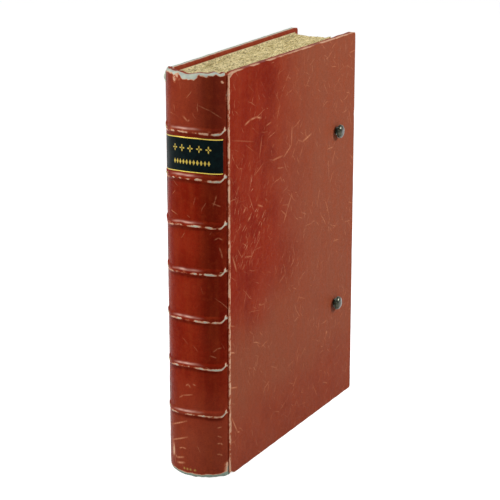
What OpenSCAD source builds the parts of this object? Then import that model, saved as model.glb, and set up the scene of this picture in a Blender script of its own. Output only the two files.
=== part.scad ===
// Antique leather book with a rounded back on raised bands, and two clasp catch pins.
// Millimetres. Z runs up the book's height, Y from the spine to the fore edge,
// and the front cover is at +X. The book stands on the tail edges of its boards, and the
// origin is the middle of its outline on that surface.

/* [Boards] */
// Height of each covered board
board_h = 300; // [220:1:400]
// Width of each covered board, from the joint to the fore edge
board_w = 210; // [150:1:280]
// Thickness of the bare board
core_t = 3.6; // [3:0.1:7]
// Angle at which each cover stands open, because the pages have swollen
cover_gape = 0.8; // [0:0.1:1.5]
// Height of the cut across each joint corner
joint_cut_h = 3.5; // [1:0.5:6]
// Width of the cut across each joint corner
joint_cut_w = 7; // [1:0.5:12]
// Radius worn onto each fore-edge corner
fore_corner_r = 2; // [1:0.5:6]
// Width of the leather turned in over the inner face
turn_in_w = 16; // [10:1:25]

/* [Leather and paper] */
// Thickness of the leather on the boards
leather_t = 0.7; // [0.5:0.1:1.2]
// Thickness of the leather and lining on the spine
spine_t = 1.2; // [0.9:0.1:1.8]
// Thickness of the leather where it is pared thin over a cord
pared_t = 0.6; // [0.4:0.1:1]
// Thickness of each pasted-down endpaper
paste_t = 0.2; // [0.1:0.1:0.5]
// How far each pasted-down endpaper stays back from the edges of the pages
paste_inset = 0.6; // [0.4:0.1:2]
// Thickness of the title label
label_t = 0.35; // [0.2:0.05:0.8]

/* [Pages] */
// Thickness of the pages at the joint
page_t = 39; // [30:1:60]
// How far the boards stand past the pages at head and tail
square_w = 3.4; // [3.2:0.1:6]
// How far the boards stand past the pages at the fore edge
fore_square_w = 6.4; // [4:0.1:10]
// Depth of the hollow in the fore edge
fore_hollow = 8; // [4:0.5:10]
// How many folded sections the pages are sewn from
section_n = 18; // [8:1:26]
// Width of the groove between two sections
section_groove_w = 0.35; // [0.2:0.05:0.5]
// Depth of the groove between two sections
section_groove_d = 0.8; // [0.3:0.1:1.2]
// How far each free endpaper stands above the sections
flyleaf_rise = 0.8; // [0.2:0.1:1.5]
// Thickness of the endpapers at each side
flyleaf_t = 0.9; // [0.5:0.1:1.5]

/* [Spine] */
// How far the back swells behind the joints
back_swell = 15.3; // [12:0.1:18]
// How far the leather cap stands above the boards at the head
headcap_rise = 1.5; // [0:0.1:2.5]
// Width of the leather turned over the head and tail of the spine
cap_w = 4.2; // [3.6:0.1:6]
// Outer radius of that turn
cap_r = 2.2; // [2:0.1:3]
// Thickness of the leather in the caps
cap_t = 1; // [0.8:0.1:1.2]
// Diameter of each endband
endband_d = 2.2; // [1.6:0.1:2.2]
// Gap between each endband and the spine leather behind it
endband_gap = 0.6; // [0.4:0.1:1.2]
// Distance that each endband stops short of the joint
endband_end_gap = 3.9; // [3:0.1:8]

/* [Raised bands] */
// How many cords the sections are sewn on
band_n = 7; // [3:1:7]
// Height of the lowest cord above the tail
tail_panel_h = 50; // [30:0.1:60]
// Distance of the highest cord below the head of the boards
head_panel_h = 40; // [30:0.1:60]
// How much wider the gap above each cord is than the next gap up
band_gap_extra = 0.6; // [0:0.1:1]
// Diameter of each sewing cord
cord_d = 2.2; // [1.8:0.1:3]
// Radius of the leather tucked in beside a band
band_fillet_r = 1.5; // [1.2:0.1:2]
// Distance that each band stops short of the joint
band_end_gap = 3; // [1.5:0.1:6]

/* [Title label] */
// Leather left bare between the label and the foot of the band below it
label_low_margin = 0.4; // [0.2:0.1:3]
// Leather left bare between the label and the foot of the band above it
label_high_margin = 1.8; // [0.2:0.1:4]
// Distance that the label stops short of the joint
label_end_gap = 4.7; // [1:0.1:8]

/* [Catch pins] */
// Diameter of the domed head
pin_head_d = 11; // [8:0.5:14]
// Height of the head's crown above the cover
pin_crown_h = 5.8; // [5:0.1:7]
// Height of the neck that a clasp hooks behind
pin_neck_h = 2.2; // [1.5:0.1:3]
// Diameter of the neck
pin_neck_d = 5; // [3.5:0.1:6]
// Diameter of the shank in the board
pin_shank_d = 2.4; // [2:0.1:3]
// Depth of the shank below the cover's surface
pin_shank_l = 3.2; // [2:0.1:3.4]
// Distance of the pins from the fore edge
pin_inset = 33; // [15:1:60]
// Distance of the upper pin below the head
pin_head_gap = 74; // [30:1:90]
// Height of the lower pin above the tail
pin_tail_gap = 84; // [30:1:90]

/* [Clearances] */
// Gap between a cover and the back of the book
joint_gap = 0.3; // [0.2:0.05:0.6]
// Gap between the pages and a closed cover
page_gap = 0.3; // [0.2:0.05:0.8]
// Room around a cord under its leather
cord_fit = 0.05; // [0.02:0.01:0.1]
// Room around a catch pin's shank
shank_fit = 0.05; // [0.02:0.01:0.1]
// Glue line behind the title label and between the pages and the spine leather
glue_t = 0.05; // [0.02:0.01:0.1]

/* [Hidden] */
$fn = 96;
// How far a cut runs past the surface that it opens
cut_past = 1;
leather_colour = "#8c2a1c";
board_colour = "#a98a5c";
paper_colour = "#d2bd8c";
cord_colour = "#b59a6a";
silk_colour = "#8f9a78";
label_colour = "#0b2530";
bronze_colour = "#3b3a2a";

// Covers
cover_t = 2 * leather_t + core_t;
joint_half_t = page_t / 2 + page_gap + paste_t + cover_t;
inner_corner_r = 0.3;
paste_border = square_w + paste_inset;

// The back is one arc from joint to joint
back_r = (joint_half_t * joint_half_t + back_swell * back_swell) / (2 * back_swell);
back_y = back_r - back_swell;
back_inner_r = back_r - spine_t;
joint_angle = asin(joint_half_t / back_r);
// The back's sides are swept this much further, then cut off square at the joint
spine_spare_angle = 4;
arc_degrees_per_mm = 180 / (PI * back_r);
head_z = board_h + headcap_rise;

// Pages
page_low_z = square_w;
page_high_z = board_h - square_w;
page_fore_y = board_w - fore_square_w;
page_bend_y = 6;
page_merge = 1;
shoulder_half_t = sqrt(back_inner_r * back_inner_r - back_y * back_y);
hollow_chord = page_t / 2 + page_fore_y * tan(cover_gape) - flyleaf_t;
hollow_r = (hollow_chord * hollow_chord + fore_hollow * fore_hollow) / (2 * fore_hollow);
hollow_y = page_fore_y + hollow_r - fore_hollow;

// Endbands, flat where they sit on the pages
endband_flat = 0.4 * endband_d;
endband_r = back_inner_r - endband_d / 2 - endband_gap;
endband_half_angle = joint_angle - endband_end_gap * arc_degrees_per_mm;

// Raised bands: an arc over the cord, then a fillet down to the spine
band_pitch = (board_h - tail_panel_h - head_panel_h) / (band_n - 1);
cord_r = cord_d / 2;
cord_path_r = back_inner_r + cord_r + cord_fit;
band_core_r = cord_r + cord_fit + pared_t;
band_out = cord_path_r - back_r;
band_foot = sqrt(pow(band_core_r + band_fillet_r, 2) - pow(band_fillet_r - band_out, 2));
band_half_angle = joint_angle - (band_end_gap + band_foot) * arc_degrees_per_mm;
band_steps = 6;

// Title label, in the compartment below the topmost band
label_low_z = band_z(band_n - 1) + band_foot + label_low_margin;
label_high_z = band_z(band_n) - band_foot - label_high_margin;
label_half_angle = joint_angle - label_end_gap * arc_degrees_per_mm;

// Catch pins
pin_y = board_w - pin_inset;
pin_upper_z = board_h - pin_head_gap;
pin_lower_z = pin_tail_gap;
pin_rim_h = 0.7;
pin_waist = 0.4;
pin_bevel = 0.4;
pin_dome_steps = 12;

// Middle of the outline on the floor, seen from the middle of the joints
back_reach = joint_half_t + board_w * sin(cover_gape);
front_reach = max(back_reach, joint_half_t + pin_y * sin(cover_gape) + pin_crown_h * cos(cover_gape));
spine_reach = back_swell + band_out + band_core_r;
fore_reach = board_w * cos(cover_gape) + (cover_t - fore_corner_r) * sin(cover_gape);
centre_x = (front_reach - back_reach) / 2;
centre_y = (fore_reach - spine_reach) / 2;

// Half the pages' thickness at the distance y in front of the joint
function page_half_t(y) = page_t / 2 + y * tan(cover_gape);

// Height of cord number i, counted from the tail
function band_z(i) = tail_panel_h + (i - 1) * (band_pitch + band_gap_extra * (band_n - i) / 2);

// Where the leaf at share s of the thickness, from -1 to 1, crosses the radius r of the back
function leaf_back(s, r) =
    let (a = asin(s * shoulder_half_t / back_inner_r))
    [r * sin(a), back_y - r * cos(a)];

// A thin slot along that leaf, from behind the back to past the fore edge
function leaf_slot(s) =
    let (half = [section_groove_w / 2, 0])
    let (back = leaf_back(s, back_inner_r + cut_past))
    let (bend = [s * page_half_t(page_bend_y), page_bend_y])
    let (fore = [s * page_half_t(board_w), board_w])
    [back - half, back + half, bend + half, fore + half, fore - half, bend - half];

// Points on an arc, from angle a0 to angle a1
function arc(x, y, r, a0, a1, steps) =
    [for (i = [0:steps]) let (a = a0 + (a1 - a0) * i / steps) [x + r * cos(a), y + r * sin(a)]];

// Half a band's outline from its middle to its foot, as [height above the spine, distance]
function half_band() =
    let (meet = atan2(band_foot, band_fillet_r - band_out))
    let (crown = arc(band_out, 0, band_core_r, 0, meet, band_steps))
    let (fillet = arc(band_fillet_r, band_foot, band_fillet_r, meet - 180, -180, band_steps))
    concat(crown, [for (i = [1:band_steps]) fillet[i]]);

// The whole outline, from the foot below to the foot above
function whole_band() =
    let (half = half_band())
    concat([for (i = [len(half) - 1:-1:1]) [half[i][0], -half[i][1]]], half);

// Outline of a cord's channel from above to below, open towards the pages
function channel_outline() =
    let (r = cord_r + cord_fit)
    concat([[back_inner_r, r]], arc(cord_path_r, 0, r, 90, -90, 2 * band_steps), [[back_inner_r, -r]]);

// Outline of the leather turned over the tail, from the inside round its lip to the outside
function cap_outline() =
    concat(
        arc(back_r - cap_r, cap_r, cap_r - cap_t, 0, -90, band_steps),
        arc(back_r - cap_w, cap_t / 2, cap_t / 2, 90, 270, band_steps),
        arc(back_r - cap_r, cap_r, cap_r, -90, 0, band_steps)
    );

// Moves the children, drawn from the middle of the joints, to their place about the origin
module in_book() {
    translate([-centre_x, -centre_y, 0]) children();
}

// Puts the children on the front cover: x = 0 is its outer face and y = 0 the joint
module on_front_cover() {
    translate([joint_half_t, 0, 0]) rotate([0, 0, -cover_gape]) children();
}

module on_back_cover() {
    mirror([1, 0, 0]) on_front_cover() children();
}

// A slab of a 2D outline in Y and Z, from the given depth inward over thickness t
module slab(depth, t) {
    translate([-depth - t, 0, 0]) rotate([90, 0, 90]) linear_extrude(t) children();
}

// Outline of a cover, moved in from every edge but the joint
module cover_outline(inset) {
    low = inset;
    high = board_h - inset;
    fore = board_w - inset;
    r = max(fore_corner_r - inset, inner_corner_r);
    cut_y = joint_gap + joint_cut_w;
    polygon([
        [joint_gap, low + joint_cut_h], [cut_y, low], [fore - r, low],
        [fore - r, high], [cut_y, high], [joint_gap, high - joint_cut_h]
    ]);
    translate([fore - 2 * r, low + r]) square([2 * r, high - low - 2 * r]);
    for (z = [low + r, high - r]) translate([fore - r, z]) circle(r);
}

// A rectangle that leaves a border along head, tail and fore edge
module inner_face(border, joint_y) {
    translate([joint_y, border]) square([board_w - border - joint_y, board_h - 2 * border]);
}

// A round hole at the height z, from the outer face inward
module pin_hole(z, d, depth) {
    translate([-depth, pin_y, z]) rotate([0, 90, 0]) cylinder(d = d, h = depth + cut_past);
}

// The bare board, bored for the catch pins at the given heights
module cover_core(pins) {
    difference() {
        slab(leather_t, core_t) cover_outline(leather_t);
        for (z = pins) pin_hole(z, pin_shank_d + 2 * shank_fit, pin_shank_l + shank_fit);
    }
}

// The leather drawn over a board and turned in along three of its edges
module cover_skin(pins) {
    difference() {
        slab(0, cover_t) cover_outline(0);
        slab(leather_t, core_t) cover_outline(leather_t);
        slab(leather_t + core_t, leather_t + cut_past) inner_face(turn_in_w, 0);
        for (z = pins) pin_hole(z, pin_shank_d + 2 * shank_fit, leather_t + cut_past);
    }
}

// The pasted-down endpaper, with the lining that fills up to the turned-in leather
module cover_paper() {
    slab(leather_t + core_t, leather_t + paste_t / 2) inner_face(turn_in_w, joint_gap);
    slab(cover_t, paste_t) inner_face(paste_border, joint_gap);
}

// A catch pin turned from one piece: shank, waisted neck and domed head
module catch_pin(z) {
    head_r = pin_head_d / 2;
    neck_r = pin_neck_d / 2;
    rim_z = pin_neck_h + pin_bevel;
    dome_h = pin_crown_h - rim_z - pin_rim_h;
    dome_r = (head_r * head_r + dome_h * dome_h) / (2 * dome_h);
    dome_angle = asin(head_r / dome_r);
    stem = [
        [0, -pin_shank_l], [pin_shank_d / 2, -pin_shank_l], [pin_shank_d / 2, 0],
        [neck_r, 0], [neck_r - pin_waist, pin_neck_h / 2], [neck_r, pin_neck_h],
        [head_r - pin_bevel, rim_z], [head_r, rim_z + pin_rim_h / 2]
    ];
    dome = [for (i = [pin_dome_steps:-1:0])
        let (a = dome_angle * i / pin_dome_steps)
        [dome_r * sin(a), pin_crown_h - dome_r * (1 - cos(a))]];
    translate([0, pin_y, z]) rotate([0, 90, 0]) rotate_extrude() polygon(concat(stem, dome));
}

// Sweeps a section around the back between two angles from its middle
module along_back(a0, a1) {
    translate([0, back_y, 0]) rotate([0, 0, a0 - 90]) rotate_extrude(angle = a1 - a0) children();
}

module around_back(half_angle) {
    along_back(-half_angle, half_angle) children();
}

// The pages seen from the head: rounded back, shoulders and hollow fore edge
module page_outline() {
    difference() {
        union() {
            polygon([
                [-page_half_t(0), -page_merge], [page_half_t(0), -page_merge], [page_half_t(0), 0],
                [page_half_t(page_fore_y), page_fore_y], [-page_half_t(page_fore_y), page_fore_y],
                [-page_half_t(0), 0]
            ]);
            intersection() {
                translate([0, back_y]) circle(back_inner_r - glue_t);
                translate([-back_r, -back_r]) square([2 * back_r, back_r]);
            }
        }
        translate([0, hollow_y]) circle(hollow_r);
    }
}

// The grooves between the folded sections, seen from the head
module section_grooves() {
    for (i = [1:section_n - 1]) polygon(leaf_slot(2 * i / section_n - 1));
}

// The endpapers along the front side of the block, seen from the head
module flyleaf_outline() {
    polygon([
        [page_half_t(page_bend_y) - flyleaf_t, page_bend_y], [page_half_t(page_bend_y), page_bend_y],
        [page_half_t(page_fore_y), page_fore_y], [page_half_t(page_fore_y) - flyleaf_t, page_fore_y]
    ]);
}

module text_block() {
    color(paper_colour) in_book() {
        difference() {
            translate([0, 0, page_low_z]) linear_extrude(page_high_z - page_low_z) page_outline();
            for (z = [page_low_z - cut_past, page_high_z - section_groove_d])
                translate([0, 0, z]) linear_extrude(section_groove_d + cut_past) section_grooves();
            linear_extrude(board_h) intersection() {
                section_grooves();
                translate([0, hollow_y]) circle(hollow_r + section_groove_d);
            }
        }
        translate([0, 0, page_high_z - page_merge]) linear_extrude(flyleaf_rise + page_merge) {
            flyleaf_outline();
            mirror([1, 0]) flyleaf_outline();
        }
    }
}

// Section through the spine leather from tail cap to head cap, over so many bands
module spine_section(bands) {
    tail_cap = cap_outline();
    head_cap = [for (i = [len(tail_cap) - 1:-1:0]) [tail_cap[i][0], head_z - tail_cap[i][1]]];
    outside = [for (i = [1:1:bands]) for (p = whole_band()) [back_r + p[0], band_z(i) + p[1]]];
    inside = [for (i = [bands:-1:1]) for (p = channel_outline()) [p[0], band_z(i) + p[1]]];
    polygon(concat(
        tail_cap, outside, head_cap, [[back_inner_r, head_z - cap_r]], inside, [[back_inner_r, cap_r]]
    ));
}

module spine_leather() {
    color(leather_colour) in_book() {
        around_back(band_half_angle) spine_section(band_n);
        for (side = [0, 1]) mirror([side, 0, 0]) intersection() {
            along_back(band_half_angle, joint_angle + spine_spare_angle) spine_section(0);
            translate([0, -2 * back_r, -cut_past]) cube([2 * back_r, 2 * back_r, head_z + 2 * cut_past]);
        }
    }
}

module sewing_cord(i) {
    color(cord_colour) in_book() translate([0, 0, band_z(i)])
        around_back(band_half_angle) translate([cord_path_r, 0]) circle(cord_r);
}

// A core worked over with silk, standing on the pages at z = 0
module endband() {
    around_back(endband_half_angle) translate([endband_r, endband_flat]) intersection() {
        circle(endband_d / 2);
        translate([-endband_d, -endband_flat]) square(2 * endband_d);
    }
}

module head_endband() {
    color(silk_colour) in_book() translate([0, 0, page_high_z]) endband();
}

module tail_endband() {
    color(silk_colour) in_book() translate([0, 0, page_low_z]) mirror([0, 0, 1]) endband();
}

module title_label() {
    color(label_colour) in_book() around_back(label_half_angle)
        translate([back_r + glue_t, label_low_z]) square([label_t, label_high_z - label_low_z]);
}

module front_board() {
    color(board_colour) in_book() on_front_cover() cover_core([pin_upper_z, pin_lower_z]);
}

module front_leather() {
    color(leather_colour) in_book() on_front_cover() cover_skin([pin_upper_z, pin_lower_z]);
}

module front_pastedown() {
    color(paper_colour) in_book() on_front_cover() cover_paper();
}

module upper_catch_pin() {
    color(bronze_colour) in_book() on_front_cover() catch_pin(pin_upper_z);
}

module lower_catch_pin() {
    color(bronze_colour) in_book() on_front_cover() catch_pin(pin_lower_z);
}

module back_board() {
    color(board_colour) in_book() on_back_cover() cover_core([]);
}

module back_leather() {
    color(leather_colour) in_book() on_back_cover() cover_skin([]);
}

module back_pastedown() {
    color(paper_colour) in_book() on_back_cover() cover_paper();
}

text_block();
spine_leather();
for (i = [1:band_n]) sewing_cord(i);
head_endband();
tail_endband();
title_label();
front_board();
front_leather();
front_pastedown();
upper_catch_pin();
lower_catch_pin();
back_board();
back_leather();
back_pastedown();
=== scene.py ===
"""Antique leather book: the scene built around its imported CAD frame.

Shapes are worked out in millimetres from the middle of the joints, as in the part's source:
x runs across the book towards the front cover, y from the joint to the fore edge, z up.
"""

import math
import random

import bpy
import numpy as np
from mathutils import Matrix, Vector


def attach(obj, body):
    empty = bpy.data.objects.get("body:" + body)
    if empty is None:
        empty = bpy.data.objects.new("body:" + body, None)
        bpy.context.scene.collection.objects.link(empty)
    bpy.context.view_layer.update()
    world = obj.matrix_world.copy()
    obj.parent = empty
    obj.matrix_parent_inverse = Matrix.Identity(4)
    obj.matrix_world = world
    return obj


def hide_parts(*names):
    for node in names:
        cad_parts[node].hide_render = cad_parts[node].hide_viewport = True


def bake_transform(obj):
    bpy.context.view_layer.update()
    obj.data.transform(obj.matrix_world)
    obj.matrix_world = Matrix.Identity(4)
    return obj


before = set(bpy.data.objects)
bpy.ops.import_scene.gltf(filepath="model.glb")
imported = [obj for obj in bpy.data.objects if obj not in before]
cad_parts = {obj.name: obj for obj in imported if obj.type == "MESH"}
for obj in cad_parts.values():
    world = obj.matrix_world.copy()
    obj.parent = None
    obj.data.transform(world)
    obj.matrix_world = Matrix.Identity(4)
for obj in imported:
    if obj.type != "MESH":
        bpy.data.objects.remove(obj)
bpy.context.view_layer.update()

MM = 0.001

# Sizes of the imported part
BOARD_H = 300.0
BOARD_W = 210.0
CORE_T = 3.6
GAPE = math.radians(0.8)
JOINT_CUT_H = 3.5
JOINT_CUT_W = 7.0
FORE_CORNER_R = 2.0
TURN_IN = 16.0
LEATHER_T = 0.7
SPINE_T = 1.2
PASTE_T = 0.2
PAGE_T = 39.0
SQUARE_W = 3.4
FORE_SQUARE_W = 6.4
FORE_HOLLOW = 8.0
BACK_SWELL = 15.3
HEADCAP_RISE = 1.5
CAP_W = 4.2
CAP_R = 2.2
CAP_T = 1.0
BAND_N = 7
TAIL_PANEL_H = 50.0
HEAD_PANEL_H = 40.0
BAND_GAP_EXTRA = 0.6
BAND_H = 1.7
BAND_FOOT = 2.857
BAND_END_GAP = 3.0
LABEL_T = 0.35
LABEL_LOW_MARGIN = 0.4
LABEL_HIGH_MARGIN = 1.8
LABEL_END_GAP = 4.7
PIN_INSET = 33.0
PIN_HEAD_D = 11.0
PIN_CROWN_H = 5.8
PIN_NECK_H = 2.2
PIN_NECK_D = 5.0
PIN_SHANK_D = 2.4
PIN_SHANK_L = 3.2
PIN_RIM_H = 0.7
PIN_HEAD_GAP = 74.0
PIN_TAIL_GAP = 84.0
JOINT_GAP = 0.3
PAGE_GAP = 0.3
GLUE_T = 0.05
# Where the frame's origin lies in these coordinates
CENTRE = np.array((2.66934, 96.5107, 0.0))

COVER_T = 2 * LEATHER_T + CORE_T
JOINT_HALF_T = PAGE_T / 2 + PAGE_GAP + PASTE_T + COVER_T
BACK_R = (JOINT_HALF_T**2 + BACK_SWELL**2) / (2 * BACK_SWELL)
BACK_Y = BACK_R - BACK_SWELL
BACK_INNER_R = BACK_R - SPINE_T
JOINT_S = math.asin(JOINT_HALF_T / BACK_R) * BACK_R
HEAD_Z = BOARD_H + HEADCAP_RISE
BAND_PITCH = (BOARD_H - TAIL_PANEL_H - HEAD_PANEL_H) / (BAND_N - 1)
BAND_S = JOINT_S - BAND_END_GAP
BAND_Z = [
    TAIL_PANEL_H + i * (BAND_PITCH + BAND_GAP_EXTRA * (BAND_N - 1 - i) / 2)
    for i in range(BAND_N)
]
LABEL_S = JOINT_S - LABEL_END_GAP
LABEL_LOW = BAND_Z[-2] + BAND_FOOT + LABEL_LOW_MARGIN
LABEL_HIGH = BAND_Z[-1] - BAND_FOOT - LABEL_HIGH_MARGIN
PIN_Y = BOARD_W - PIN_INSET


# Shapes


def smooth(value, start, end):
    """0 at start and before, 1 at end and beyond, with an eased step between."""
    t = np.clip((value - start) / (end - start), 0.0, 1.0)
    return t * t * (3 - 2 * t)


def bump(value, middle, half_width):
    """1 at the middle, easing to 0 at half_width on both sides."""
    return 1.0 - smooth(np.abs(value - middle), 0.0, half_width)


def bell(value, width):
    """1 at zero, falling off to both sides."""
    return np.exp(-((value / width) ** 2))


def spot(across, up, full, edge):
    """1 within full of a point, easing to 0 at edge, from the distances across and up to it."""
    return smooth(np.hypot(across, up), edge, full)


def joined(*columns):
    """Values side by side as rows. A bare number stands in every row."""
    return np.stack(np.broadcast_arrays(*columns), -1)


def most(*fields):
    """The greatest value at each point."""
    return np.maximum.reduce(np.broadcast_arrays(*fields))


def ripple(points, size, seed):
    """A smooth random field of about -1 to 1 whose features are about size across."""
    waves = 24
    draw = np.random.default_rng(seed)
    points = np.asarray(points, float)
    total = np.zeros(len(points))
    for _ in range(waves):
        direction = draw.normal(size=points.shape[1])
        direction /= np.linalg.norm(direction)
        rate = 2 * math.pi / (size * draw.uniform(1.2, 3.2))
        total += np.sin(points @ direction * rate + draw.uniform(0, 2 * math.pi))
    return total / math.sqrt(waves / 2) / 1.6


def lines(low, *stops):
    """Ascending values from low over the stops, each given with the step on the way to it."""
    values = [low]
    for high, step in stops:
        count = max(1, round((high - low) / step))
        values += [low + (high - low) * i / count for i in range(1, count + 1)]
        low = high
    return np.array(values)


def fine_ends(low, high, margin, fine, coarse):
    """Ascending values that lie closer together within a margin of both ends."""
    return lines(low, (low + margin, fine), (high - margin, coarse), (high, fine))


def crossed(rows, columns):
    """The rows' values, the columns' values and the point numbers of a grid of both."""
    number = np.arange(len(rows) * len(columns)).reshape(len(rows), len(columns))
    return np.repeat(rows, len(columns)), np.tile(columns, len(rows)), number


def quads(number, flip=False):
    """The quads between neighbours in an array of point numbers."""
    number = np.asarray(number)
    corners = joined(number[:-1, :-1], number[:-1, 1:], number[1:, 1:], number[1:, :-1])
    corners = corners.reshape(-1, 4)
    return corners[:, ::-1] if flip else corners


def walls(number, sides):
    """The quads that close the first sides of a sheet of points against a second one below it."""
    borders = ((number[:, 0], True), (number[-1], True), (number[:, -1], False), (number[0], False))
    return [quads([border, border + number.size], flip) for border, flip in borders[:sides]]


def around_back(s, r, z):
    """Points at arc length s along the back, radius r and height z."""
    angle = s / BACK_R
    return joined(r * np.sin(angle), BACK_Y - r * np.cos(angle), z)


def on_cover(points, side):
    """Points on a cover, as (height over its outer face, y, z), to the book. Side 1 is the front."""
    x, y, z = np.asarray(points, float).T
    turn, rise = math.cos(GAPE), math.sin(GAPE)
    across = JOINT_HALF_T + x * turn + y * rise
    return joined(side * across, y * turn - x * rise, z)


def add(name, data):
    """A new object in the scene."""
    made = bpy.data.objects.new(name, data)
    bpy.context.scene.collection.objects.link(made)
    return made


def new_piece(name, points, faces, material, place=None, sharp=40, **fields):
    """A mesh object from points in mm. Place holds texture coordinates in mm; fields are floats."""
    points = (np.asarray(points, float) - CENTRE) * MM
    mesh = bpy.data.meshes.new(name)
    mesh.from_pydata(points.tolist(), [], [list(map(int, face)) for face in faces])
    mesh.update()
    if place is not None:
        layer = mesh.attributes.new("Place", "FLOAT_VECTOR", "POINT")
        layer.data.foreach_set("vector", np.asarray(place, np.float32).ravel())
    for field, values in fields.items():
        layer = mesh.attributes.new(field.capitalize(), "FLOAT", "POINT")
        layer.data.foreach_set("value", np.asarray(values, np.float32).ravel())
    mesh.polygons.foreach_set("use_smooth", [True] * len(mesh.polygons))
    mesh.set_sharp_from_angle(angle=math.radians(sharp))
    piece = add(name, mesh)
    piece.data.materials.append(material)
    return piece


def thicken(piece, thickness):
    """Gives an open sheet its thickness, behind its face."""
    solid = piece.modifiers.new("Thickness", "SOLIDIFY")
    solid.thickness = thickness * MM
    solid.offset = -1
    solid.use_even_offset = False


# Materials


def colour(red, green, blue):
    """An sRGB colour of 0 to 255 as the linear RGBA that Blender takes."""
    def linear(value):
        value /= 255
        return value / 12.92 if value <= 0.04045 else ((value + 0.055) / 1.055) ** 2.4
    return (linear(red), linear(green), linear(blue), 1.0)


class Nodes:
    """Adds nodes to a tree. Each value is a number, a vector or another node's output."""

    def __init__(self, tree):
        self.tree = tree

    def put(self, socket, value):
        """Links or sets the socket. None leaves it as it is."""
        if isinstance(value, bpy.types.NodeSocket):
            self.tree.links.new(value, socket)
        elif value is not None:
            socket.default_value = value

    def node(self, kind, *values, **settings):
        """A new node, with the values on its inputs in their order."""
        made = self.tree.nodes.new("ShaderNode" + kind)
        for key, value in settings.items():
            setattr(made, key, value)
        for socket, value in zip(made.inputs, values):
            self.put(socket, value)
        return made

    def math(self, operation, *values, **settings):
        return self.node("Math", *values, operation=operation, **settings).outputs[0]

    def vector(self, operation, *values):
        made = self.node("VectorMath", *values, operation=operation)
        return made.outputs["Value" if operation in ("DOT_PRODUCT", "DISTANCE") else "Vector"]

    def plus(self, a, b):
        return self.math("ADD", a, b)

    def minus(self, a, b):
        return self.math("SUBTRACT", a, b)

    def times(self, a, b):
        return self.math("MULTIPLY", a, b)

    def scaled(self, value, factor, offset):
        """The value times the factor, plus the offset."""
        return self.math("MULTIPLY_ADD", value, factor, offset)

    def size(self, value):
        return self.math("ABSOLUTE", value)

    def most(self, first, *others):
        """The greatest of the values."""
        for other in others:
            first = self.math("MAXIMUM", first, other)
        return first


class Finish(Nodes):
    """A procedural material, built up node by node."""

    def __init__(self, name, roughness=0.5, specular=0.5, metallic=0.0):
        self.material = bpy.data.materials.new(name)
        self.material.use_nodes = True
        super().__init__(self.material.node_tree)
        self.sockets = self.tree.nodes["Principled BSDF"].inputs
        self.put(self.sockets["Roughness"], roughness)
        self.put(self.sockets["Specular IOR Level"], specular)
        self.put(self.sockets["Metallic"], metallic)

    def field(self, name):
        """A value that the mesh holds at each of its points."""
        return self.node("Attribute", attribute_name=name).outputs["Fac"]

    def place(self):
        """Texture coordinates in mm."""
        return self.node("Attribute", attribute_name="Place").outputs["Vector"]

    def solid_place(self):
        """The object's own coordinates in mm, for a CAD node."""
        found = self.node("TexCoord").outputs["Object"]
        return self.stretched(found, 1 / MM, 1 / MM, 1 / MM)

    def stretched(self, place, along, across, up):
        """The place with each axis multiplied."""
        return self.vector("MULTIPLY", place, (along, across, up))

    def noise(self, place, size, detail=3.0, rough=0.55, distortion=0.0):
        """A cloudy field of 0 to 1 with features of the size in mm."""
        made = self.node("TexNoise", noise_dimensions="3D")
        for name, value in (
            ("Vector", place), ("Scale", 1 / size), ("Detail", detail),
            ("Roughness", rough), ("Distortion", distortion),
        ):
            self.put(made.inputs[name], value)
        return made.outputs["Fac"]

    def cells(self, place, size, feature="F1"):
        """A pattern of cells of about the size in mm."""
        made = self.node("TexVoronoi", voronoi_dimensions="3D", feature=feature)
        self.put(made.inputs["Vector"], place)
        self.put(made.inputs["Scale"], 1 / size)
        return made.outputs

    def step(self, value, low, high, to_low=0.0, to_high=1.0):
        """Eases value from low..high to to_low..to_high."""
        made = self.node("MapRange", value, low, high, to_low, to_high,
                         interpolation_type="SMOOTHSTEP", clamp=True)
        return made.outputs[0]

    def mix(self, share, a, b):
        """Colour a, going over to colour b by the share."""
        made = self.node("Mix", data_type="RGBA", blend_type="MIX", clamp_factor=True)
        self.put(made.inputs["Factor"], share)
        colours = [socket for socket in made.inputs if socket.type == "RGBA"]
        self.put(colours[0], a)
        self.put(colours[1], b)
        return [socket for socket in made.outputs if socket.type == "RGBA"][0]

    def blend(self, a, b, value, low, high, most=1.0):
        """Colour a, going over to b by the share most as the value rises from low to high."""
        return self.mix(self.step(value, low, high, 0.0, most), a, b)

    def bump(self, height, distance, normal=None):
        """The surface's normal with the height, of 0 to 1, raised by the distance in mm."""
        made = self.node("Bump")
        self.put(made.inputs["Strength"], 1.0)
        self.put(made.inputs["Distance"], distance * MM)
        self.put(made.inputs["Height"], height)
        self.put(made.inputs["Normal"], normal)
        return made.outputs["Normal"]

    def done(self, base, normal=None, roughness=None, metallic=None):
        """Gives the shader its values and returns the material."""
        self.put(self.sockets["Base Color"], base)
        self.put(self.sockets["Normal"], normal)
        self.put(self.sockets["Roughness"], roughness)
        self.put(self.sockets["Metallic"], metallic)
        return self.material


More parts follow.
